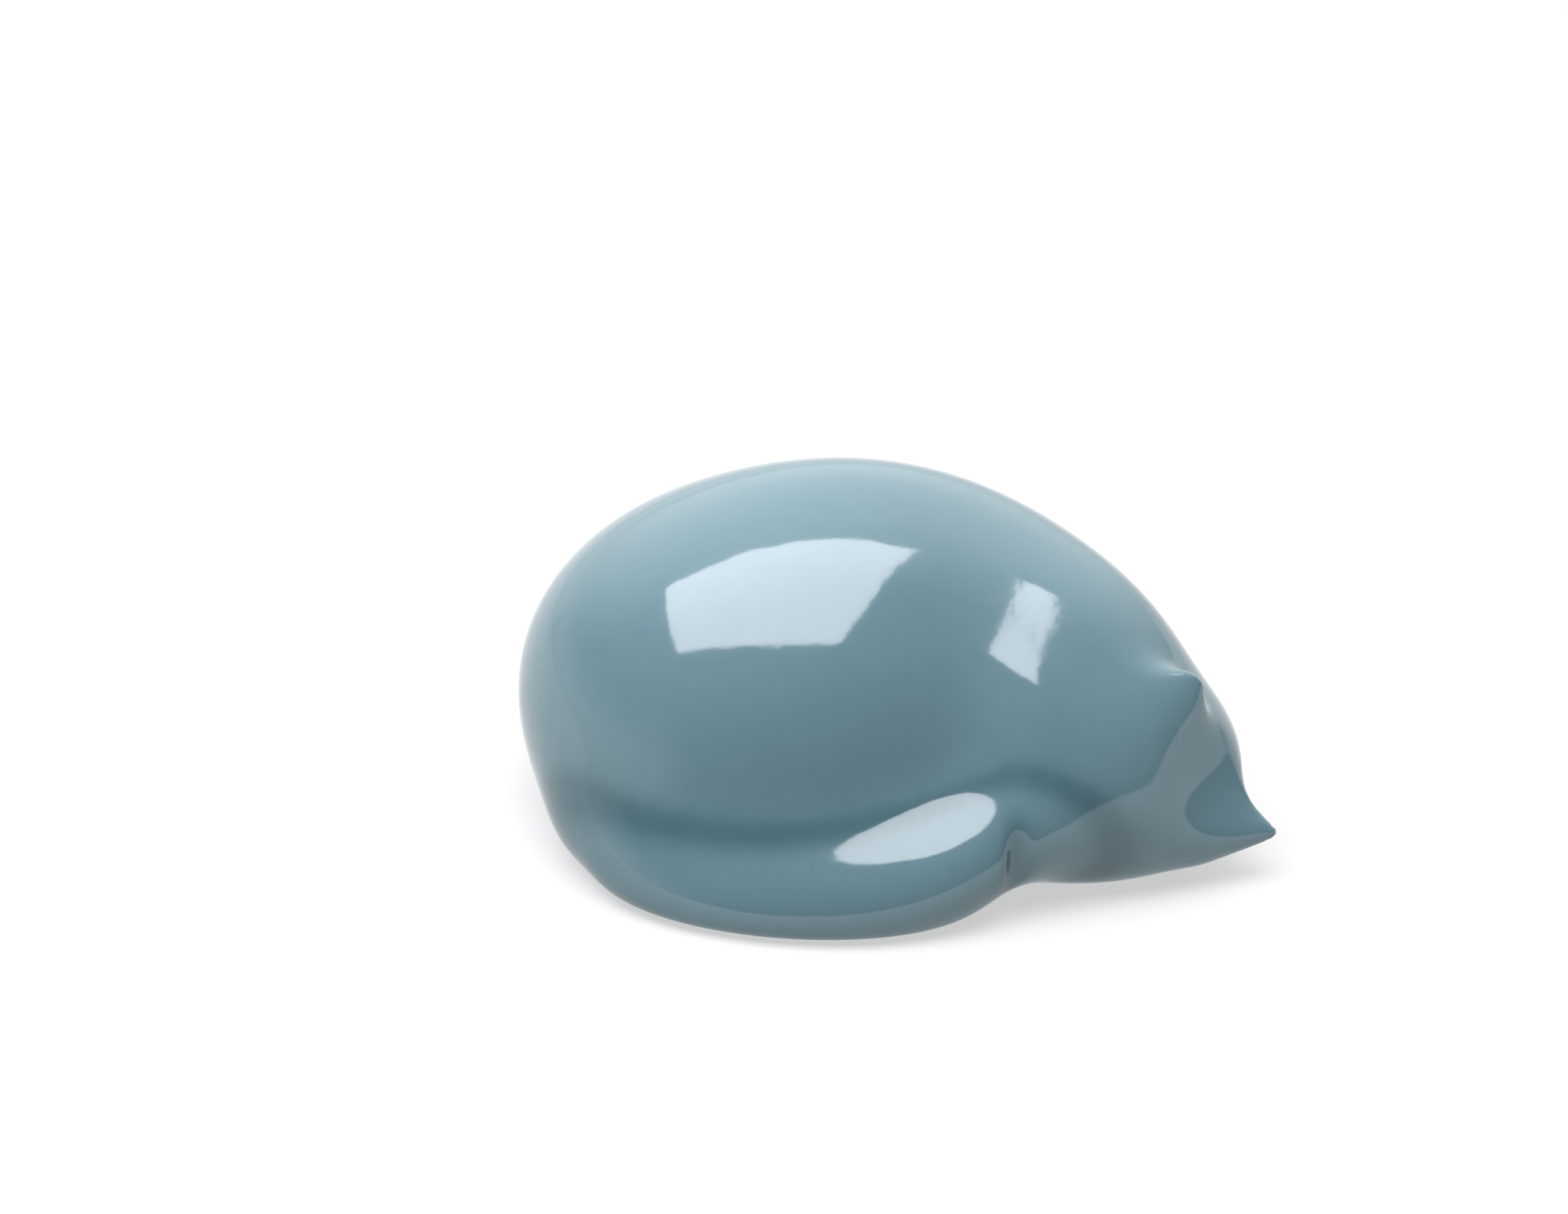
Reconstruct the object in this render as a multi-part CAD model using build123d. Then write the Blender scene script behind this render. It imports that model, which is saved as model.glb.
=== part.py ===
from build123d import *
import math
import os

import numpy as np

# A glazed stoneware cat, curled up asleep. Its hollow body, hollow head, tail and two ears are
# made separately, luted together with slip, and closed underneath with a clay disc.
# Millimetres. +Z is up, +X runs from the rump to the ears, -Y is the side the tail lies on.
# The origin is the middle of the footprint, on the table.

os.makedirs("parts", exist_ok=True)

# ---- driving dimensions
WALL = 4.0                 # cast wall
POUR_R = 9.0               # hole the spare slip is drained through
DISC_R = 13.0              # clay disc that closes it, luted into a rebate
DISC_T = 2.5
DISC_SET_BACK = 0.5        # the disc sits this far above the table
DISC_GAP = 0.2             # slip joint round the disc
VENT_R = 1.5               # lets the air out of the sealed casting in the kiln
DISC_AT = (-10.0, 4.0)

# rounded masses: centre, radii, turn about Z in degrees
RUMP = ((-28.6, 8.4, 27.2), (58.8, 55.3, 46.4), -29)
SHOULDER = ((-8.3, 6.0, 27.7), (55.7, 39.9, 52.7), 11)
NECK = ((33.5, -2.7, 25.5), (41.1, 28.8, 40.0), -37)
SKULL = ((48.7, -20.0, 19.0), (31.0, 28.0, 23.0), 11)
SKULL_TILT = 14            # crown end up, degrees
CHEEK = ((25.8, -20.7, 30.3), (14.0, 21.0, 21.3), 28)

# tail: a roll laid along part of an ellipse in plan, from behind the rump to the chin
TAIL_CENTRE = (-0.4, -6.3)
TAIL_A = 62.1
TAIL_B = 39.3
TAIL_FROM = -145.5         # degrees round the ellipse
TAIL_TO = -68.9
TAIL_R = (18.1, 22.4, 10.7)    # radius at its start, middle and end
TAIL_Z = (11.8, 0.3, 17.7)     # height of its axis there
TAIL_TALL = 0.93               # section height over width

# ears: root, tip, root radius, tip radius, thickness over width
EAR_UPPER = ((54.7, -35.0, 29.0), (65.7, -29.0, 46.0), 14.5, 2.4, 0.45)
EAR_LOWER = ((68.7, -33.0, 17.0), (87.6, -34.0, 12.2), 12.0, 2.6, 0.70)

# face: a shallow dome that trims the head in front; the point it passes through, the way it
# looks (turned from -Y, raised from level, degrees) and its radius
FACE = ((62.3, -44.5, 23.0), (11, 6.5), 300.0)
# shallow hollow between the ears: a ball's centre and radius
BROW = ((87.7, -57.0, 35.0), 30.0)

# how softly neighbours flow into each other
SOFT_BODY = 9.7
SOFT_TAIL = 7.0
SOFT_HEAD = 4.3
SOFT_CHEEK = 5.0
SOFT_EAR_UPPER = 3.0
SOFT_EAR_LOWER = 3.0
SOFT_FACE = 3.0
SOFT_BROW = 2.5
SOFT_FOOT = 3.0

# luting joints between the members
HEAD_JOINT = (54.8, -11.1)     # the head joint is an upright round cut about this point
HEAD_JOINT_R = 36.5
# the tail joint is an upright wall under the crease between tail and body, rump end first
TAIL_JOINT = [(-95, -8), (-77, -31), (-53, -49), (-26, -55), (7, -49.5), (28, -45.5), (35, -40)]
EAR_JOINT_BACK = 9.0           # ear joints are square to the ear, this far behind its tip
EAR_JOINT_R = 9.5
FAR = 130.0                    # clear of the whole figure

CORE = (10.0, -5.0, 24.0)      # point inside the form that its outline rings are measured from


# ---- the form, as a distance that is negative inside
def ellipsoid(p, mass, tilt=0):
    centre, radii, turn = mass
    c = math.cos(math.radians(turn))
    s = math.sin(math.radians(turn))
    dx = p[0] - centre[0]
    dy = p[1] - centre[1]
    dz = p[2] - centre[2]
    ahead = c * dx + s * dy
    rise = math.radians(tilt)
    a = (math.cos(rise) * ahead + math.sin(rise) * dz) / radii[0]
    b = (c * dy - s * dx) / radii[1]
    g = (math.cos(rise) * dz - math.sin(rise) * ahead) / radii[2]
    near = np.sqrt(a * a + b * b + g * g) + 1e-9
    slope = np.sqrt((a / radii[0]) ** 2 + (b / radii[1]) ** 2 + (g / radii[2]) ** 2) + 1e-9
    return near * (near - 1) / slope


def blend(a, b, soft):
    """Union with a soft fillet."""
    return np.minimum(a, b) - soft * np.log1p(np.exp(-np.abs(a - b) / soft))


def carve(a, b, soft):
    """Intersection with a soft round-over."""
    return -blend(-a, -b, soft)


def hold(t, soft=0.03):
    """Keeps t between 0 and 1 without a corner at either end."""
    t = t - soft * np.logaddexp(0, (t - 1) / soft)
    return t + soft * np.logaddexp(0, -t / soft)


def ball(p, centre, radius):
    return np.sqrt(sum((p[i] - centre[i]) ** 2 for i in range(3))) - radius


def through(values, t):
    """The curve that passes through three values at t = 0, 0.5 and 1."""
    first, middle, last = values
    return first * (1 - t) * (1 - 2 * t) + middle * 4 * t * (1 - t) + last * t * (2 * t - 1)


def tail(p):
    qx = (p[0] - TAIL_CENTRE[0]) / TAIL_A
    qy = (p[1] - TAIL_CENTRE[1]) / TAIL_B
    ring = np.sqrt(qx * qx + qy * qy) + 1e-9
    out = ring * (ring - 1) / (np.sqrt((qx / TAIL_A) ** 2 + (qy / TAIL_B) ** 2) + 1e-9)
    turn = np.arctan2(qy, qx)
    turn = np.where(turn > math.radians(60), turn - 2 * math.pi, turn)
    start = math.radians(TAIL_FROM)
    end = math.radians(TAIL_TO)
    t = hold((turn - start) / (end - start))
    past = np.maximum(turn - end, 0) + np.maximum(start - turn, 0)
    along = past * np.sqrt((TAIL_A * np.sin(turn)) ** 2 + (TAIL_B * np.cos(turn)) ** 2)
    up = (p[2] - through(TAIL_Z, t)) / TAIL_TALL
    return np.sqrt(out * out + up * up + along * along) - through(TAIL_R, t)


def unit(v):
    return v / np.linalg.norm(v)


def ear_frame(ear):
    """Axis, width and thickness directions of an ear. Both ears lie flat in one plane."""
    axis = unit(np.subtract(ear[1], ear[0]))
    across = np.subtract(EAR_UPPER[1], EAR_LOWER[1])
    thick = unit(np.cross(across, axis))
    return axis, np.cross(thick, axis), thick


def ear_form(p, ear):
    root, tip, root_r, tip_r, thin = ear
    axis, wide, thick = ear_frame(ear)
    length = np.linalg.norm(np.subtract(tip, root))
    d = [p[i] - root[i] for i in range(3)]
    h = d[0] * axis[0] + d[1] * axis[1] + d[2] * axis[2]
    u = d[0] * wide[0] + d[1] * wide[1] + d[2] * wide[2]
    v = (d[0] * thick[0] + d[1] * thick[1] + d[2] * thick[2]) / thin
    q = np.sqrt(u * u + v * v + 1e-12)
    lean = (root_r - tip_r) / length
    rise = math.sqrt(1 - lean * lean)
    reach = h * rise - q * lean
    root_ball = np.sqrt(q * q + h * h) - root_r
    tip_ball = np.sqrt(q * q + (h - length) ** 2) - tip_r
    flank = q * rise + h * lean - root_r
    form = np.where(reach < 0, root_ball, np.where(reach > rise * length, tip_ball, flank))
    return form * math.sqrt(thin)


def trunk(p):
    return blend(blend(ellipsoid(p, RUMP), ellipsoid(p, SHOULDER), SOFT_BODY), ellipsoid(p, NECK), SOFT_BODY)


def face_side(p):
    """Negative behind the face."""
    point, (turn, rise), radius = FACE
    turn = math.radians(turn)
    rise = math.radians(rise)
    looks = (math.sin(turn) * math.cos(rise), -math.cos(turn) * math.cos(rise), math.sin(rise))
    return ball(p, [point[i] - radius * looks[i] for i in range(3)], radius)


def head(p):
    """Skull and ears, trimmed by the face."""
    form = blend(ellipsoid(p, SKULL, SKULL_TILT), ear_form(p, EAR_UPPER), SOFT_EAR_UPPER)
    form = blend(form, ear_form(p, EAR_LOWER), SOFT_EAR_LOWER)
    return carve(form, face_side(p), SOFT_FACE)


def outside(p):
    """Everything, standing on a flat foot."""
    form = blend(trunk(p), tail(p), SOFT_TAIL)
    form = blend(form, ellipsoid(p, CHEEK), SOFT_CHEEK)
    form = blend(form, head(p), SOFT_HEAD)
    form = carve(form, -ball(p, *BROW), SOFT_BROW)
    return carve(form, -p[2], SOFT_FOOT)


def hollow(p):
    """The space left inside body and head when the slip is poured out."""
    form = blend(trunk(p), ellipsoid(p, CHEEK), SOFT_CHEEK)
    form = blend(form, carve(ellipsoid(p, SKULL, SKULL_TILT), face_side(p), SOFT_FACE), SOFT_HEAD)
    form = carve(form, -ball(p, *BROW), SOFT_BROW) + WALL
    return carve(form, WALL - p[2], SOFT_FOOT)


# ---- surfaces: closed rings round the core, from the foot up to the crown, lofted into one skin
def edge_along(form, directions):
    """Distance from the core to the surface along each direction."""
    near = np.zeros(directions.shape[1:])
    far = np.full(directions.shape[1:], 140.0)
    for _ in range(30):
        mid = (near + far) / 2
        inside = form([CORE[i] + mid * directions[i] for i in range(3)]) < 0
        near = np.where(inside, mid, near)
        far = np.where(inside, far, mid)
    return near


def steps(*spans):
    """Angles, span by span: (from, to, how many)."""
    parts = [np.linspace(a, b, n, endpoint=False) for a, b, n in spans]
    return np.concatenate(parts + [[spans[-1][1]]])


def skin(form, floor, rim_height, inset, turns, climbs):
    turns = np.radians(turns)
    level = np.array([np.cos(turns), np.sin(turns), np.zeros(len(turns))])
    drop = np.arctan2(floor + rim_height - CORE[2], 60.0)
    rim = edge_along(form, np.array([level[0], level[1], level[2] + math.tan(drop)]))
    lowest = np.arctan2(floor - CORE[2], rim - inset)
    knots = [float(k) for k in (turns - turns[0])] + [2 * math.pi]
    rings = []
    for share in climbs / 90.0:
        rise = lowest + share * (math.pi / 2 - lowest)
        d = np.array([np.cos(rise) * level[0], np.cos(rise) * level[1], np.sin(rise)])
        reach = edge_along(form, d)
        ring = [CORE[i] + reach * d[i] for i in range(3)]
        if share == 0:
            ring[2] = np.full(len(turns), floor)
        if share == climbs[-1] / 90.0:
            ring[2] = np.full(len(turns), ring[2].mean())
        points = [Vector(float(x), float(y), float(z)) for x, y, z in zip(*ring)]
        rings.append(Wire([Edge.make_spline(points, periodic=True, parameters=knots)]))
    return Solid.make_loft(rings)


fine_turns = steps((-130, -75, 16), (-75, -40, 20), (-40, 0, 34), (0, 230, 56))[:-1]
fine_climbs = steps((0, 16, 14), (16, 56, 32), (56, 89.4, 13))
outer = skin(outside, 0.0, 3.0, 14.0, fine_turns, fine_climbs)
inner = skin(hollow, WALL, 3.0, 10.0, steps((0, 360, 48))[:-1], steps((0, 20, 9), (20, 89, 20)))
casting = outer - inner

# the closing disc, and the pour hole it covers
disc_at = Pos(DISC_AT[0], DISC_AT[1], 0)
disc_top = DISC_SET_BACK + DISC_T
rebate = disc_at * Pos(0, 0, disc_top / 2) * Cylinder(DISC_R + DISC_GAP, disc_top)
pour_hole = disc_at * Pos(0, 0, WALL) * Cylinder(POUR_R, 2 * WALL)
casting = casting - rebate - pour_hole
vent = Cylinder(VENT_R, 2 * WALL)
disc = disc_at * Pos(0, 0, DISC_SET_BACK + DISC_T / 2) * (Cylinder(DISC_R, DISC_T) - vent)

# head: everything on the far side of the round joint
head_side = Pos(HEAD_JOINT[0], HEAD_JOINT[1], 0) * Cylinder(HEAD_JOINT_R, 2 * FAR)
head_side += Pos(HEAD_JOINT[0] + FAR / 2, HEAD_JOINT[1] - HEAD_JOINT_R / 2, 0) * Box(FAR, HEAD_JOINT_R, 2 * FAR)
head_cast = casting & head_side
rest = casting - head_side

# tail: everything outside the upright wall under its crease
crease = Edge.make_spline([Vector(x, y, 0) for x, y in TAIL_JOINT])
corners = [TAIL_JOINT[-1], (FAR / 2, -FAR / 3), (FAR / 2, -FAR), (-FAR, -FAR), TAIL_JOINT[0]]
outline = Wire([crease] + list(Polyline(*corners).edges()))
tail_side = extrude(Face(outline), FAR / 2, dir=(0, 0, 1))
tail_cast = rest & tail_side
body = rest - tail_side

# ears: cut square to their own axes
ears = {}
for name, ear in (("ear_upper", EAR_UPPER), ("ear_lower", EAR_LOWER)):
    axis = Vector(*ear_frame(ear)[0])
    start = Vector(*ear[1]) - axis * EAR_JOINT_BACK
    reach = EAR_JOINT_BACK * 2
    cut = Plane(origin=start + axis * (reach / 2), z_dir=axis) * Cylinder(EAR_JOINT_R, reach)
    ears[name] = head_cast & cut
    head_cast = head_cast - cut

members = {"body": body, "head": head_cast, "tail": tail_cast, "base_disc": disc, **ears}
for name, member in members.items():
    solids = member.solids()
    print(name, len(solids), round(member.volume), member.is_valid, member.bounding_box())
    export_step(solids[0] if len(solids) == 1 else member, f"parts/{name}.step")
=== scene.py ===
import math

import bpy
import numpy as np
from mathutils import Matrix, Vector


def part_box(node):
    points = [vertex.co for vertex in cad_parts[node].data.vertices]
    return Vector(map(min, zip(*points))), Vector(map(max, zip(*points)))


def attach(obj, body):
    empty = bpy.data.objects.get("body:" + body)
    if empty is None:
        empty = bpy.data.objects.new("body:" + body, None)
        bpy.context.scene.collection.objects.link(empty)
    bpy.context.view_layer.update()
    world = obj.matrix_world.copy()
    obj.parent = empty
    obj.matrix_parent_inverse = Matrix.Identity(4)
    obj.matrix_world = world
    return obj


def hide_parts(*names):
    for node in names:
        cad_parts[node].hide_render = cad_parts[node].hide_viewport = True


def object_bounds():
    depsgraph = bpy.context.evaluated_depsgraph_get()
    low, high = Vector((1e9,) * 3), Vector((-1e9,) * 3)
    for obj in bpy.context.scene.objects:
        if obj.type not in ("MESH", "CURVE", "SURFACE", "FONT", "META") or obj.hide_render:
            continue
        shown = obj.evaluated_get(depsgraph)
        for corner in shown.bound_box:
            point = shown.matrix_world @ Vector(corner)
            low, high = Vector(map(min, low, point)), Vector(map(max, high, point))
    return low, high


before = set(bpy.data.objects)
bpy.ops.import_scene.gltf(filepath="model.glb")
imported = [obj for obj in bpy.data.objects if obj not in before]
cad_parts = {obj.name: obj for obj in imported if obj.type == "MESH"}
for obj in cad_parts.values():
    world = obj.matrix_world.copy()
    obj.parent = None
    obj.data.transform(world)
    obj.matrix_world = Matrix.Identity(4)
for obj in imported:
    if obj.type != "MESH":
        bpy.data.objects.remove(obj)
cad_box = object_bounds()

MM = 0.001

# ---- the cat's form, in millimetres: the same rounded masses as the CAD solids
RUMP = ((-28.6, 8.4, 27.2), (58.8, 55.3, 46.4), -29)
SHOULDER = ((-8.3, 6.0, 27.7), (55.7, 39.9, 52.7), 11)
NECK = ((33.5, -2.7, 25.5), (41.1, 28.8, 40.0), -37)
SKULL = ((48.7, -20.0, 19.0), (31.0, 28.0, 23.0), 11)
SKULL_TILT = 14            # crown end up, degrees
CHEEK = ((25.8, -20.7, 30.3), (14.0, 21.0, 21.3), 28)

# tail: a roll laid along part of an ellipse in plan, from behind the rump to the chin
TAIL_CENTRE = (-0.4, -6.3)
TAIL_A = 62.1
TAIL_B = 39.3
TAIL_FROM = -145.5         # degrees round the ellipse
TAIL_TO = -68.9
TAIL_R = (18.1, 22.4, 10.7)    # radius at its start, middle and end
TAIL_Z = (11.8, 0.3, 17.7)     # height of its axis there
TAIL_TALL = 0.93               # section height over width

# ears: root, tip, root radius, tip radius, thickness over width
EAR_UPPER = ((54.7, -35.0, 29.0), (65.7, -29.0, 46.0), 14.5, 2.4, 0.45)
EAR_LOWER = ((68.7, -33.0, 17.0), (87.6, -34.0, 12.2), 12.0, 2.6, 0.70)

# face: a shallow dome that trims the head in front; the point it passes through, the way it
# looks (turned from -Y, raised from level, degrees) and its radius
FACE = ((62.3, -44.5, 23.0), (11, 6.5), 300.0)
# shallow hollow between the ears: a ball's centre and radius
BROW = ((87.7, -57.0, 35.0), 30.0)
# crease pressed in beside the tail tip: its two ends, top first, and its radius
GROOVE = ((27.2, -55.2, 28.0), (27.4, -56.4, 5.0))
GROOVE_R = 2.4

# how softly neighbours flow into each other
SOFT_GROOVE = 0.8
SOFT_BODY = 9.7
SOFT_TAIL = 7.0
SOFT_HEAD = 4.3
SOFT_CHEEK = 5.0
SOFT_EAR_UPPER = 3.0
SOFT_EAR_LOWER = 3.0
SOFT_FACE = 3.0
SOFT_BROW = 2.5
SOFT_FOOT = 3.0

# painted shade in the creases above the tail and beside the tail tip, partly also glaze that has run
# together there
CREASE_SHADE_WIDTH = 5.0
CREASE_SHADE_SHIFT = 0.4           # the painted shade beside the tail tip fades out sooner
CREASE_SHADE_BESIDE = 0.8          # and is weaker than the one above the tail

# joints between the members, as in the CAD
HEAD_JOINT = (54.8, -11.1)
HEAD_JOINT_R = 36.5
TAIL_JOINT = ((-95, -8), (-77, -31), (-53, -49), (-26, -55), (7, -49.5), (28, -45.5), (35, -40))
EAR_JOINT_BACK = 9.0
EAR_JOINT_R = 9.5
DISC_R = 13.0
DISC_GAP = 0.2
DISC_SET_BACK = 0.5
DISC_T = 2.5
VENT_R = 1.5
GLAZE_LINE = 0.4           # the glaze is wiped back to this height above the table
SLIP_LAP = 0.1             # the slip ring reaches this far in over the disc
DISC_EDGE = 0.35           # rounding of the disc's edges

CELL = 1.25                # mesh cell


def ellipsoid(p, mass, tilt=0):
    centre, radii, turn = mass
    c = math.cos(math.radians(turn))
    s = math.sin(math.radians(turn))
    dx = p[0] - centre[0]
    dy = p[1] - centre[1]
    dz = p[2] - centre[2]
    ahead = c * dx + s * dy
    rise = math.radians(tilt)
    a = (math.cos(rise) * ahead + math.sin(rise) * dz) / radii[0]
    b = (c * dy - s * dx) / radii[1]
    g = (math.cos(rise) * dz - math.sin(rise) * ahead) / radii[2]
    near = np.sqrt(a * a + b * b + g * g) + 1e-9
    slope = np.sqrt((a / radii[0]) ** 2 + (b / radii[1]) ** 2 + (g / radii[2]) ** 2) + 1e-9
    return near * (near - 1) / slope


def blend(a, b, soft):
    """Union with a soft fillet."""
    return np.minimum(a, b) - soft * np.log1p(np.exp(-np.abs(a - b) / soft))


def carve(a, b, soft):
    """Intersection with a soft round-over."""
    return -blend(-a, -b, soft)


def hold(t, soft=0.03):
    """Keeps t between 0 and 1 without a corner at either end."""
    t = t - soft * np.logaddexp(0, (t - 1) / soft)
    return t + soft * np.logaddexp(0, -t / soft)


def ball(p, centre, radius):
    return np.sqrt(sum((p[i] - centre[i]) ** 2 for i in range(3))) - radius


def through(values, t):
    """The curve that passes through three values at t = 0, 0.5 and 1."""
    first, middle, last = values
    return first * (1 - t) * (1 - 2 * t) + middle * 4 * t * (1 - t) + last * t * (2 * t - 1)


def tail(p):
    qx = (p[0] - TAIL_CENTRE[0]) / TAIL_A
    qy = (p[1] - TAIL_CENTRE[1]) / TAIL_B
    ring = np.sqrt(qx * qx + qy * qy) + 1e-9
    out = ring * (ring - 1) / (np.sqrt((qx / TAIL_A) ** 2 + (qy / TAIL_B) ** 2) + 1e-9)
    turn = np.arctan2(qy, qx)
    turn = np.where(turn > math.radians(60), turn - 2 * math.pi, turn)
    start = math.radians(TAIL_FROM)
    end = math.radians(TAIL_TO)
    t = hold((turn - start) / (end - start))
    past = np.maximum(turn - end, 0) + np.maximum(start - turn, 0)
    along = past * np.sqrt((TAIL_A * np.sin(turn)) ** 2 + (TAIL_B * np.cos(turn)) ** 2)
    up = (p[2] - through(TAIL_Z, t)) / TAIL_TALL
    return np.sqrt(out * out + up * up + along * along) - through(TAIL_R, t)


def unit(v):
    return v / np.linalg.norm(v)


def ear_frame(ear):
    """Axis, width and thickness directions of an ear, flat towards the other ear's tip."""
    axis = unit(np.subtract(ear[1], ear[0]))
    across = np.subtract(EAR_UPPER[1], EAR_LOWER[1])
    thick = unit(np.cross(across, axis))
    return axis, np.cross(thick, axis), thick


def ear_form(p, ear):
    root, tip, root_r, tip_r, thin = ear
    axis, wide, thick = ear_frame(ear)
    length = np.linalg.norm(np.subtract(tip, root))
    d = [p[i] - root[i] for i in range(3)]
    h = d[0] * axis[0] + d[1] * axis[1] + d[2] * axis[2]
    u = d[0] * wide[0] + d[1] * wide[1] + d[2] * wide[2]
    v = (d[0] * thick[0] + d[1] * thick[1] + d[2] * thick[2]) / thin
    q = np.sqrt(u * u + v * v + 1e-12)
    lean = (root_r - tip_r) / length
    rise = math.sqrt(1 - lean * lean)
    reach = h * rise - q * lean
    root_ball = np.sqrt(q * q + h * h) - root_r
    tip_ball = np.sqrt(q * q + (h - length) ** 2) - tip_r
    flank = q * rise + h * lean - root_r
    form = np.where(reach < 0, root_ball, np.where(reach > rise * length, tip_ball, flank))
    return form * math.sqrt(thin)


def trunk(p):
    back = blend(ellipsoid(p, RUMP), ellipsoid(p, SHOULDER), SOFT_BODY)
    return blend(back, ellipsoid(p, NECK), SOFT_BODY)


def face_side(p):
    """Negative behind the face."""
    point, (turn, rise), radius = FACE
    turn = math.radians(turn)
    rise = math.radians(rise)
    looks = (math.sin(turn) * math.cos(rise), -math.cos(turn) * math.cos(rise), math.sin(rise))
    return ball(p, [point[i] - radius * looks[i] for i in range(3)], radius)


def head(p):
    """Skull and ears, trimmed by the face."""
    form = blend(ellipsoid(p, SKULL, SKULL_TILT), ear_form(p, EAR_UPPER), SOFT_EAR_UPPER)
    form = blend(form, ear_form(p, EAR_LOWER), SOFT_EAR_LOWER)
    return carve(form, face_side(p), SOFT_FACE)


def groove(p):
    """The crease where the tail tip presses against the chin: a straight rod along the surface."""
    start, end = np.array(GROOVE)
    d = end - start
    t = np.clip(sum((p[i] - start[i]) * d[i] for i in range(3)) / (d * d).sum(), 0, 1)
    return np.sqrt(sum((p[i] - start[i] - t * d[i]) ** 2 for i in range(3))) - GROOVE_R


def painted_crease_shade(p):
    """How much painted crease shade, partly also pooled glaze: 1 where trunk and tail are equally
    near, 0 well away.
    """
    apart = (trunk(p) - tail(p)) / CREASE_SHADE_WIDTH
    beside = groove(p) / CREASE_SHADE_WIDTH + CREASE_SHADE_SHIFT
    return np.maximum(np.exp(-apart * apart), np.exp(-beside * beside) * CREASE_SHADE_BESIDE)


def outside(p):
    """Everything, standing on a flat foot."""
    form = blend(trunk(p), tail(p), SOFT_TAIL)
    form = blend(form, ellipsoid(p, CHEEK), SOFT_CHEEK)
    form = blend(form, head(p), SOFT_HEAD)
    form = carve(form, -ball(p, *BROW), SOFT_BROW)
    form = carve(form, -groove(p), SOFT_GROOVE)
    return carve(form, -p[2], SOFT_FOOT)


# ---- joints between the members, each negative on the member's side
def head_side(p):
    drum = np.hypot(p[0] - HEAD_JOINT[0], p[1] - HEAD_JOINT[1]) - HEAD_JOINT_R
    half = HEAD_JOINT_R / 2
    slab = np.maximum(np.abs(p[1] - HEAD_JOINT[1] + half) - half, HEAD_JOINT[0] - p[0])
    return np.minimum(drum, slab)


def tail_side(p):
    wall = np.array(TAIL_JOINT, float)
    t = np.linspace(0, len(wall) - 1, 60)
    k = np.clip(t.astype(int), 0, len(wall) - 2)
    s = t - k
    slope = np.gradient(wall, axis=0)
    pair = [wall[k], wall[k + 1], slope[k], slope[k + 1]]
    h = [2 * s**3 - 3 * s**2 + 1, 3 * s**2 - 2 * s**3, s**3 - 2 * s**2 + s, s**3 - s**2]
    line = sum(a * b[:, None] for a, b in zip(pair, h))
    return np.maximum(p[1] - np.interp(p[0], line[:, 0], line[:, 1]), p[0] - wall[-1][0] - 12)


def ear_side(p, ear):
    axis = ear_frame(ear)[0]
    d = [p[i] - ear[1][i] for i in range(3)]
    h = d[0] * axis[0] + d[1] * axis[1] + d[2] * axis[2]
    q = np.sqrt(np.maximum(d[0] ** 2 + d[1] ** 2 + d[2] ** 2 - h * h, 0))
    return np.maximum(q - EAR_JOINT_R, -h - EAR_JOINT_BACK)


def disc_side(p):
    x, y = disc_centre()
    return np.maximum(np.hypot(p[0] - x, p[1] - y) - DISC_R - DISC_GAP, p[2] - 1)


def disc_centre():
    low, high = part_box("base_disc")
    return (low.x + high.x) / 2 / MM, (low.y + high.y) / 2 / MM


# ---- meshing
def gradient(form, points, h=0.02):
    out = []
    for axis in range(3):
        step = np.zeros((3, 1))
        step[axis] = h
        out.append((form(points + step) - form(points - step)) / (2 * h))
    return np.array(out)


def settle(form, points, rounds=3):
    """Moves points on to the surface."""
    for _ in range(rounds):
        g = gradient(form, points)
        points = points - form(points) * g / ((g * g).sum(0) + 1e-9)
    return points


def surface_net(form, low, high, cell):
    """Points and quads of the surface, one point in each grid cell that it crosses."""
    axes = [np.arange(a, b + cell, cell) for a, b in zip(low, high)]
    size = [len(a) for a in axes]
    values = np.empty(size)
    for i, x in enumerate(axes[0]):
        y, z = np.meshgrid(axes[1], axes[2], indexing="ij")
        values[i] = form(np.array([np.full(y.shape, x), y, z]))
    inside = values < 0
    corners = sum(
        inside[i : size[0] - 1 + i, j : size[1] - 1 + j, k : size[2] - 1 + k].astype(int)
        for i in (0, 1) for j in (0, 1) for k in (0, 1)
    )
    crossed = (corners > 0) & (corners < 8)
    number = np.full(crossed.shape, -1)
    number[crossed] = np.arange(crossed.sum())
    points = np.argwhere(crossed).T * cell + np.array(low)[:, None] + cell / 2
    quads = []
    for axis in range(3):
        a = np.moveaxis(inside, axis, 0)
        n = np.moveaxis(number, axis, 0)
        change = a[:-1, 1:-1, 1:-1] != a[1:, 1:-1, 1:-1]
        i, j, k = np.nonzero(change)
        four = np.array([n[i, j, k], n[i, j + 1, k], n[i, j + 1, k + 1], n[i, j, k + 1]]).T
        leaving = a[i, j + 1, k + 1] ^ (axis == 1)
        four[~leaving] = four[~leaving][:, ::-1]
        quads.append(four)
    return points, np.concatenate(quads)


def relax(form, points, quads, rounds):
    """Evens out the quads without leaving the surface."""
    ends = np.concatenate([quads[:, [i, (i + 1) % 4]] for i in range(4)])
    count = np.bincount(ends.ravel(), minlength=points.shape[1])
    for _ in range(rounds):
        total = np.zeros_like(points)
        for axis in range(3):
            total[axis] = np.bincount(ends[:, 0], points[axis][ends[:, 1]], points.shape[1])
            total[axis] += np.bincount(ends[:, 1], points[axis][ends[:, 0]], points.shape[1])
        points = settle(form, 0.4 * points + 0.6 * total / np.maximum(count, 1), 1)
    return points


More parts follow.
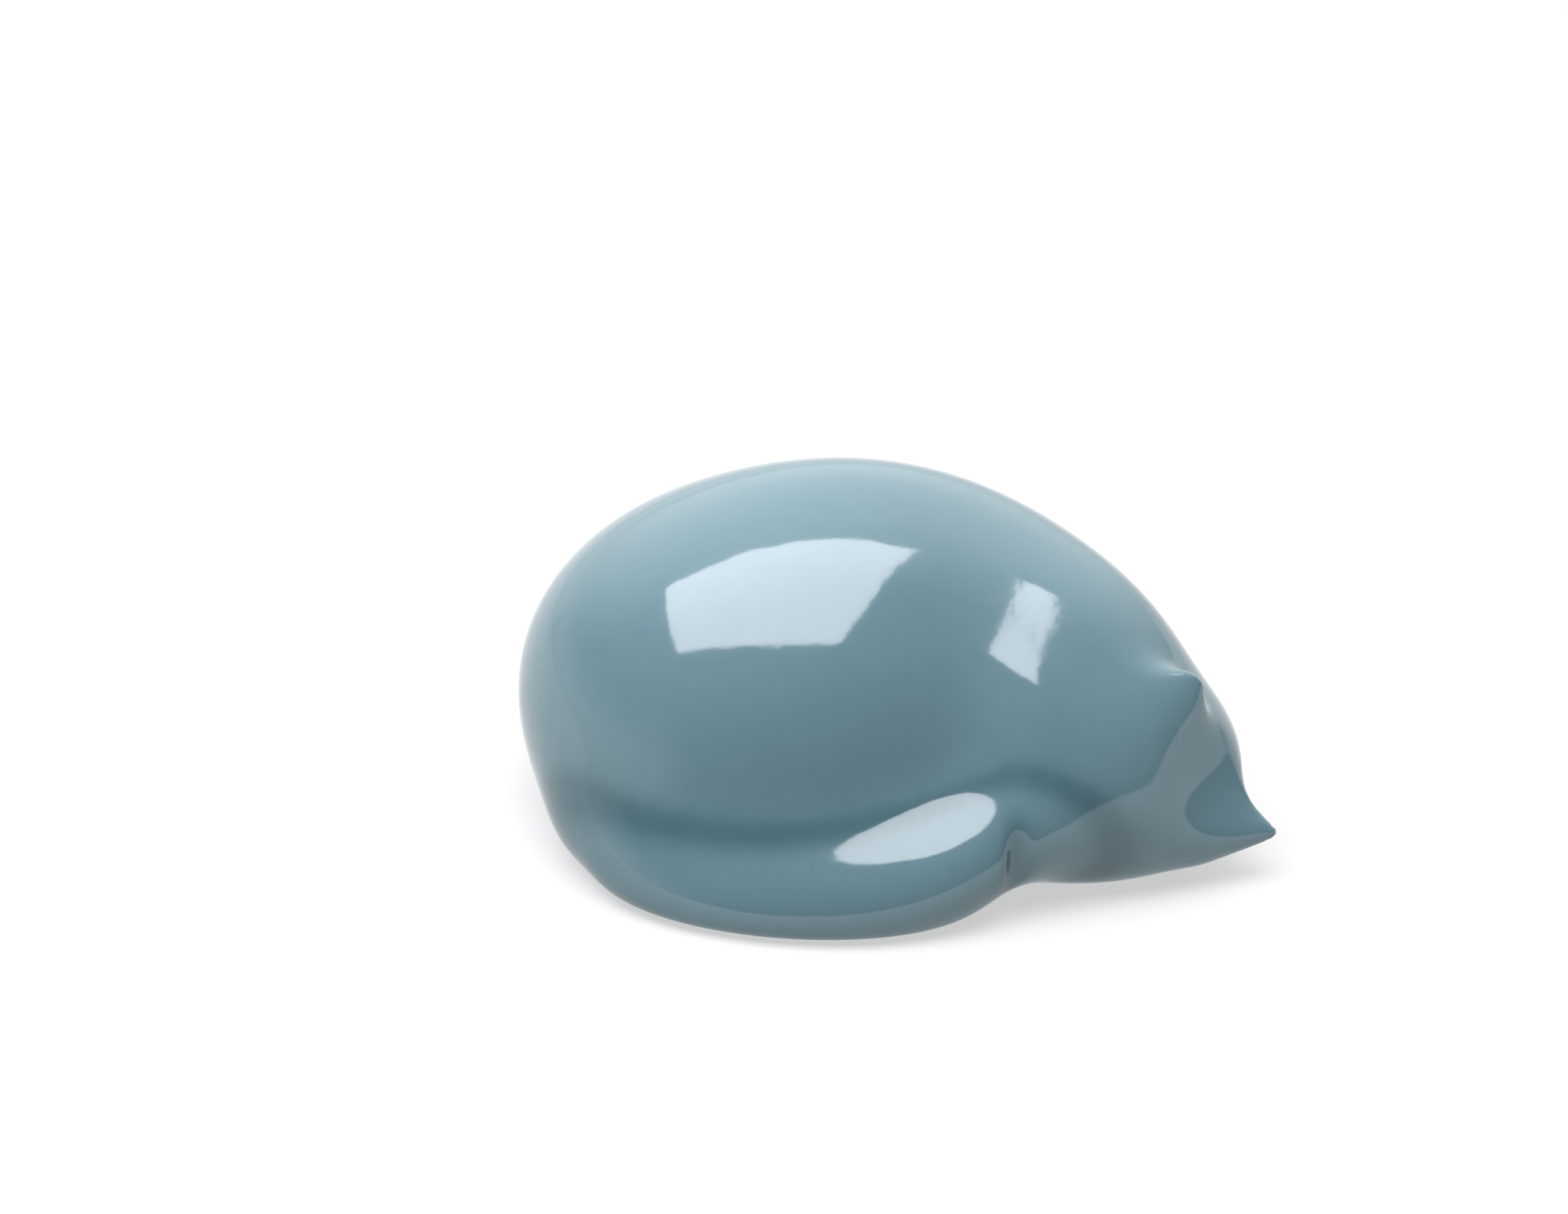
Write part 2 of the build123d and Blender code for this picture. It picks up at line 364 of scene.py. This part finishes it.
def cut(form, side, points, faces):
    """Moves points beside the joint on to it, and splits faces that it still crosses.
    Returns points, faces and whether each face lies on the member's side."""
    value = side(points)
    ring = np.where(faces < 0, faces[:, [0]], faces)
    a = ring.ravel()
    b = np.roll(ring, -1, axis=1).ravel()
    crossing = (value[a] < 0) != (value[b] < 0)
    nearer = np.where(np.abs(value[a]) < np.abs(value[b]), a, b)[crossing]
    on = np.zeros(points.shape[1], bool)
    on[nearer] = True
    moved = points[:, on]
    for _ in range(8):
        g = gradient(side, moved)
        moved = moved - side(moved) * g / ((g * g).sum(0) + 1e-9)
        moved = settle(form, moved, 1)
    points = points.copy()
    points[:, on] = moved
    value = np.where(on, 0.0, value)
    v = value[ring]
    straddles = (v.min(1) < 0) & (v.max(1) > 0)
    whole = faces[~straddles]
    split = faces[straddles]
    first_on = np.where(np.abs(value[split[:, 0]]) < 1e-12, 0, 1)
    rows = np.arange(len(split))
    turned = np.array([split[rows, (first_on + i) % 4] for i in range(4)]).T
    blank = np.full(len(split), -1)
    halves = np.concatenate([
        np.array([turned[:, 0], turned[:, 1], turned[:, 2], blank]).T,
        np.array([turned[:, 0], turned[:, 2], turned[:, 3], blank]).T,
    ])
    faces = np.concatenate([whole, halves])
    ring = np.where(faces < 0, faces[:, [0]], faces)
    return points, faces, value[ring].sum(1) < 0


def make_piece(name, points, faces, normals, material):
    used = np.unique(faces[faces >= 0])
    number = np.full(points.shape[1], -1)
    number[used] = np.arange(len(used))
    mesh = bpy.data.meshes.new(name)
    rows = [[int(number[i]) for i in face if i >= 0] for face in faces]
    mesh.from_pydata((points[:, used].T * MM).tolist(), [], rows)
    mesh.update()
    mesh.shade_smooth()
    if normals is not None:
        mesh.normals_split_custom_set_from_vertices(normals[:, used].T.tolist())
    # painted shade in the creases, stored on each point so the glaze colour can be darkened there
    crease_shade = mesh.attributes.new("crease_shade", "FLOAT", "POINT")
    crease_shade.data.foreach_set("value", painted_crease_shade(points[:, used]).astype(np.float32))
    mesh.materials.append(material)
    piece = bpy.data.objects.new(name, mesh)
    bpy.context.scene.collection.objects.link(piece)
    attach(piece, "root")
    return piece


def main_form():
    low = np.array(cad_box[0]) / MM - 2 * CELL
    high = np.array(cad_box[1]) / MM + 2 * CELL
    points, quads = surface_net(outside, low, high, CELL)
    points = settle(outside, points, 4)
    points = relax(outside, points, quads, 4)
    return settle(outside, points, 3), quads


# ---- materials
def new_material(name):
    material = bpy.data.materials.new(name)
    material.use_nodes = True
    nodes = material.node_tree.nodes
    nodes.clear()
    output = nodes.new("ShaderNodeOutputMaterial")
    shader = nodes.new("ShaderNodeBsdfPrincipled")
    material.node_tree.links.new(shader.outputs["BSDF"], output.inputs["Surface"])
    return material, nodes, material.node_tree.links, shader


def noise(nodes, links, scale, detail, position):
    n = nodes.new("ShaderNodeTexNoise")
    n.inputs["Scale"].default_value = scale
    n.inputs["Detail"].default_value = detail
    links.new(position.outputs["Object"], n.inputs["Vector"])
    return n


def mixed(nodes, links, share, a, b):
    """Blends two values; share is how much of the second."""
    m = nodes.new("ShaderNodeMix")
    m.inputs["Factor"].default_value = share
    links.new(a, m.inputs["A"])
    links.new(b, m.inputs["B"])
    return m.outputs["Result"]


# the darkest glaze tone is reached only where painted crease shade is laid on
GLAZE_SHADED = (0.055, 0.112, 0.132, 1)
GLAZE_DEEP = (0.090, 0.162, 0.187, 1)
GLAZE_PALE = (0.122, 0.208, 0.235, 1)
CREASE_SHADE_DEPTH = 0.45          # how far full painted crease shade moves the glaze towards its darkest
CLAY_DARK = (0.50, 0.43, 0.34, 1)
CLAY_LIGHT = (0.68, 0.61, 0.50, 1)


def glaze_material():
    """Blue-grey glaze, faintly mottled, with painted light on top and painted shade low down and in
    the creases, partly also glaze running thinner on top and gathering in the creases.
    """
    material, nodes, links, shader = new_material("celadon_blue_glaze")
    position = nodes.new("ShaderNodeTexCoord")
    cloud = noise(nodes, links, 14.0, 3.0, position)
    speck = noise(nodes, links, 240.0, 2.0, position)
    split = nodes.new("ShaderNodeSeparateXYZ")
    links.new(position.outputs["Object"], split.inputs["Vector"])
    # painted light and shade: the glaze colour is made paler higher up and darker low down, partly
    # also thinner glaze on top
    height = nodes.new("ShaderNodeMapRange")
    height.inputs["From Min"].default_value = 0.0
    height.inputs["From Max"].default_value = 0.084
    height.inputs["To Min"].default_value = 0.25
    height.inputs["To Max"].default_value = 0.75
    links.new(split.outputs["Z"], height.inputs["Value"])
    both = mixed(nodes, links, 0.35, height.outputs["Result"], cloud.outputs["Fac"])
    coat = mixed(nodes, links, 0.12, both, speck.outputs["Fac"])
    # painted crease shade: darkens the glaze colour in the creases, partly also pooled glaze
    crease_shade = nodes.new("ShaderNodeAttribute")
    crease_shade.attribute_name = "crease_shade"
    shaded_tone = nodes.new("ShaderNodeMath")
    shaded_tone.operation = "MULTIPLY_ADD"
    shaded_tone.inputs[1].default_value = -CREASE_SHADE_DEPTH
    links.new(crease_shade.outputs["Fac"], shaded_tone.inputs[0])
    links.new(coat, shaded_tone.inputs[2])
    ramp = nodes.new("ShaderNodeValToRGB")
    ramp.color_ramp.elements[0].position = 0.0
    ramp.color_ramp.elements[1].position = 0.75
    ramp.color_ramp.elements[0].color = GLAZE_SHADED
    ramp.color_ramp.elements[1].color = GLAZE_PALE
    between = ramp.color_ramp.elements.new(0.3)
    between.color = GLAZE_DEEP
    links.new(shaded_tone.outputs["Value"], ramp.inputs["Fac"])
    links.new(ramp.outputs["Color"], shader.inputs["Base Color"])
    wave = noise(nodes, links, 42.0, 1.0, position)
    peel = noise(nodes, links, 170.0, 2.0, position)
    ripple = mixed(nodes, links, 0.12, wave.outputs["Fac"], peel.outputs["Fac"])
    bump = nodes.new("ShaderNodeBump")
    bump.inputs["Strength"].default_value = 0.5
    bump.inputs["Distance"].default_value = 0.0006
    links.new(ripple, bump.inputs["Height"])
    links.new(bump.outputs["Normal"], shader.inputs["Normal"])
    shader.inputs["Roughness"].default_value = 0.08
    shader.inputs["IOR"].default_value = 1.6
    return material


def clay_material():
    material, nodes, links, shader = new_material("bare_stoneware")
    position = nodes.new("ShaderNodeTexCoord")
    grain = noise(nodes, links, 900.0, 4.0, position)
    ramp = nodes.new("ShaderNodeValToRGB")
    ramp.color_ramp.elements[0].position = 0.3
    ramp.color_ramp.elements[1].position = 0.7
    ramp.color_ramp.elements[0].color = CLAY_DARK
    ramp.color_ramp.elements[1].color = CLAY_LIGHT
    links.new(grain.outputs["Fac"], ramp.inputs["Fac"])
    links.new(ramp.outputs["Color"], shader.inputs["Base Color"])
    bump = nodes.new("ShaderNodeBump")
    bump.inputs["Strength"].default_value = 0.5
    bump.inputs["Distance"].default_value = 0.0002
    links.new(grain.outputs["Fac"], bump.inputs["Height"])
    links.new(bump.outputs["Normal"], shader.inputs["Normal"])
    shader.inputs["Roughness"].default_value = 0.85
    return material


glaze = glaze_material()
clay = clay_material()

# ---- pieces
points, faces = main_form()
points, faces, in_foot = cut(outside, lambda p: p[2] - GLAZE_LINE, points, faces)
foot = faces[in_foot]
coat = faces[~in_foot]
points, foot, in_disc = cut(outside, disc_side, points, foot)
foot = foot[~in_disc]

left = coat
shells = {}
for name, side in (
    ("head", head_side),
    ("ear_upper", lambda p: ear_side(p, EAR_UPPER)),
    ("ear_lower", lambda p: ear_side(p, EAR_LOWER)),
    ("tail", tail_side),
):
    source = shells["head"] if name.startswith("ear") else left
    points, source, chosen = cut(outside, side, points, source)
    shells[name] = source[chosen]
    if name.startswith("ear"):
        shells["head"] = source[~chosen]
    else:
        left = source[~chosen]
shells["body"] = left

normals = gradient(outside, points)
normals = normals / np.linalg.norm(normals, axis=0)
for name, rows in shells.items():
    piece = make_piece(f"{name}_glazed", points, rows, normals, glaze)
    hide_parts(name)
make_piece("foot_bare", points, foot, normals, clay)


AROUND = 96                # faces round a turned piece


def lathe(name, profile, centre, around, material):
    """A ring-shaped piece: profile is (radius, height) from its inner edge to its outer edge."""
    turns = np.linspace(0, 2 * math.pi, around, endpoint=False)
    r = np.array([p[0] for p in profile])
    z = np.array([p[1] for p in profile])
    x = centre[0] + np.outer(np.cos(turns), r)
    y = centre[1] + np.outer(np.sin(turns), r)
    points = np.array([x.ravel(), y.ravel(), np.tile(z, around)])
    n = len(profile)
    rows = []
    for i in range(around):
        j = (i + 1) % around
        for k in range(n):
            m = (k + 1) % n
            rows.append([i * n + k, j * n + k, j * n + m, i * n + m])
    return make_piece(name, points, np.array(rows), None, material)


low = DISC_SET_BACK
high = DISC_SET_BACK + DISC_T
edge = DISC_EDGE
disc = lathe("base_disc_clay", [
    (VENT_R, high), (VENT_R, low + edge), (VENT_R + edge / 3, low + edge / 3), (VENT_R + edge, low),
    (DISC_R / 2, low), (DISC_R - edge, low), (DISC_R - edge / 3, low + edge / 3), (DISC_R, low + edge),
    (DISC_R, high), (DISC_R / 2, high),
], disc_centre(), AROUND, clay)
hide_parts("base_disc")
rim = DISC_R + DISC_GAP
lathe("slip_joint", [
    (DISC_R - SLIP_LAP, high), (DISC_R - SLIP_LAP, low + 0.6), (rim - 0.05, low / 2),
    (rim + 0.01, 0.03), (rim + 0.01, high),
], disc_centre(), AROUND, clay)

# ---- studio: directions are slopes away from straight up
LAMP_H = 2.6
LAMP_FROM = 0.06           # height that the lamp's slopes are taken from
LAMP_TURN = -0.161
LAMP_U = (-0.963, 0.399)
LAMP_V = (-0.722, 0.109)
LAMP_GLOW = 7.3
LAMP_COLOUR = (0.97, 0.96, 1.0)
FLOOR_TONE = 0.25
FLOOR_GLOW = 0.56
BACK_RISE = 0.17
ROOM_AXIS = (0, 0.70, 0.71)
ROOM_FADE = (0.35, 0.95)
ROOM_DARK = 0.04
ROOM_BRIGHT = 1.6
SWEEP_TOP = 0.35
SWEEP_GLOW = 0.9
SWEEP_SIDE = (-0.45, -1.0)
FLOOR_SIZE = 8.0
WALL_AT = 4.0              # pale card this far behind
CAMERA_AT = (-0.0249, -0.7697, 0.4226)
CAMERA_LENS = 85
PITCH = 0.4479             # how far the camera looks down, radians


# ---- floor, light and camera
def plane(name, width, depth, matrix, material):
    mesh = bpy.data.meshes.new(name)
    w, d = width / 2, depth / 2
    mesh.from_pydata([(-w, -d, 0), (w, -d, 0), (w, d, 0), (-w, d, 0)], [], [(0, 1, 2, 3)])
    mesh.materials.append(material)
    thing = bpy.data.objects.new(name, mesh)
    thing.matrix_world = matrix
    bpy.context.scene.collection.objects.link(thing)
    return thing


floor_material, _, _, shader = new_material("pale_floor")
shader.inputs["Base Color"].default_value = (FLOOR_TONE, FLOOR_TONE, FLOOR_TONE, 1)
shader.inputs["Roughness"].default_value = 0.9
shader.inputs["Specular IOR Level"].default_value = 0.0
shader.inputs["Emission Color"].default_value = (1, 1, 1, 1)
shader.inputs["Emission Strength"].default_value = FLOOR_GLOW
plane("floor", FLOOR_SIZE, FLOOR_SIZE, Matrix.Translation((0, 0, 0)), floor_material)

card_material, _, _, shader = new_material("white_card")
shader.inputs["Base Color"].default_value = (0, 0, 0, 1)
shader.inputs["Specular IOR Level"].default_value = 0.0
shader.inputs["Emission Color"].default_value = (1, 1, 1, 1)
shader.inputs["Emission Strength"].default_value = 1.0
upright = Matrix.Rotation(math.pi / 2, 4, "X")
at_back = Matrix.Translation((0, WALL_AT, 0)) @ upright
plane("back_wall", FLOOR_SIZE, 2 * WALL_AT * BACK_RISE, at_back, card_material)

mid_u = sum(LAMP_U) / 2
mid_v = sum(LAMP_V) / 2
c = math.cos(LAMP_TURN)
s = math.sin(LAMP_TURN)
lamp = bpy.data.lights.new("softbox", "AREA")
lamp.shape = "RECTANGLE"
lamp.size = (LAMP_U[1] - LAMP_U[0]) * LAMP_H
lamp.size_y = (LAMP_V[1] - LAMP_V[0]) * LAMP_H
lamp.energy = LAMP_GLOW * math.pi * lamp.size * lamp.size_y
lamp.color = LAMP_COLOUR
softbox = bpy.data.objects.new("softbox", lamp)
lamp_at = ((c * mid_u - s * mid_v) * LAMP_H, (s * mid_u + c * mid_v) * LAMP_H, LAMP_H + LAMP_FROM)
softbox.matrix_world = Matrix.Translation(lamp_at) @ Matrix.Rotation(LAMP_TURN, 4, "Z")
bpy.context.scene.collection.objects.link(softbox)

# a dim room that brightens upward and behind, with a low glow on the left
world = bpy.data.worlds.new("studio")
world.use_nodes = True
nodes = world.node_tree.nodes
links = world.node_tree.links
direction = nodes.new("ShaderNodeTexCoord")
toward = nodes.new("ShaderNodeVectorMath")
toward.operation = "DOT_PRODUCT"
toward.inputs[1].default_value = ROOM_AXIS
links.new(direction.outputs["Generated"], toward.inputs[0])
fade = nodes.new("ShaderNodeMapRange")
fade.interpolation_type = "SMOOTHSTEP"
fade.inputs["From Min"].default_value = ROOM_FADE[0]
fade.inputs["From Max"].default_value = ROOM_FADE[1]
fade.inputs["To Min"].default_value = ROOM_DARK
fade.inputs["To Max"].default_value = ROOM_BRIGHT
links.new(toward.outputs["Value"], fade.inputs["Value"])
side = nodes.new("ShaderNodeSeparateXYZ")
links.new(direction.outputs["Generated"], side.inputs["Vector"])
low_band = nodes.new("ShaderNodeMapRange")
low_band.interpolation_type = "SMOOTHSTEP"
low_band.inputs["From Min"].default_value = SWEEP_TOP
low_band.inputs["From Max"].default_value = 0.0
low_band.inputs["To Max"].default_value = SWEEP_GLOW
links.new(side.outputs["Z"], low_band.inputs["Value"])
leftward = nodes.new("ShaderNodeMapRange")
leftward.interpolation_type = "SMOOTHSTEP"
leftward.inputs["From Min"].default_value = SWEEP_SIDE[0]
leftward.inputs["From Max"].default_value = SWEEP_SIDE[1]
links.new(side.outputs["X"], leftward.inputs["Value"])
sweep = nodes.new("ShaderNodeMath")
sweep.operation = "MULTIPLY"
links.new(low_band.outputs["Result"], sweep.inputs[0])
links.new(leftward.outputs["Result"], sweep.inputs[1])
total = nodes.new("ShaderNodeMath")
total.operation = "ADD"
links.new(fade.outputs["Result"], total.inputs[0])
links.new(sweep.outputs["Value"], total.inputs[1])
links.new(total.outputs["Value"], nodes["Background"].inputs["Strength"])
nodes["Background"].inputs["Color"].default_value = (1, 1, 1, 1)
bpy.context.scene.world = world

camera_data = bpy.data.cameras.new("camera")
camera_data.lens = CAMERA_LENS
camera_data.sensor_width = 36
camera = bpy.data.objects.new("camera", camera_data)
camera.location = CAMERA_AT
camera.rotation_euler = (math.pi / 2 - PITCH, 0, 0)
bpy.context.scene.collection.objects.link(camera)
bpy.context.scene.camera = camera
bpy.context.scene.view_settings.view_transform = "Standard"
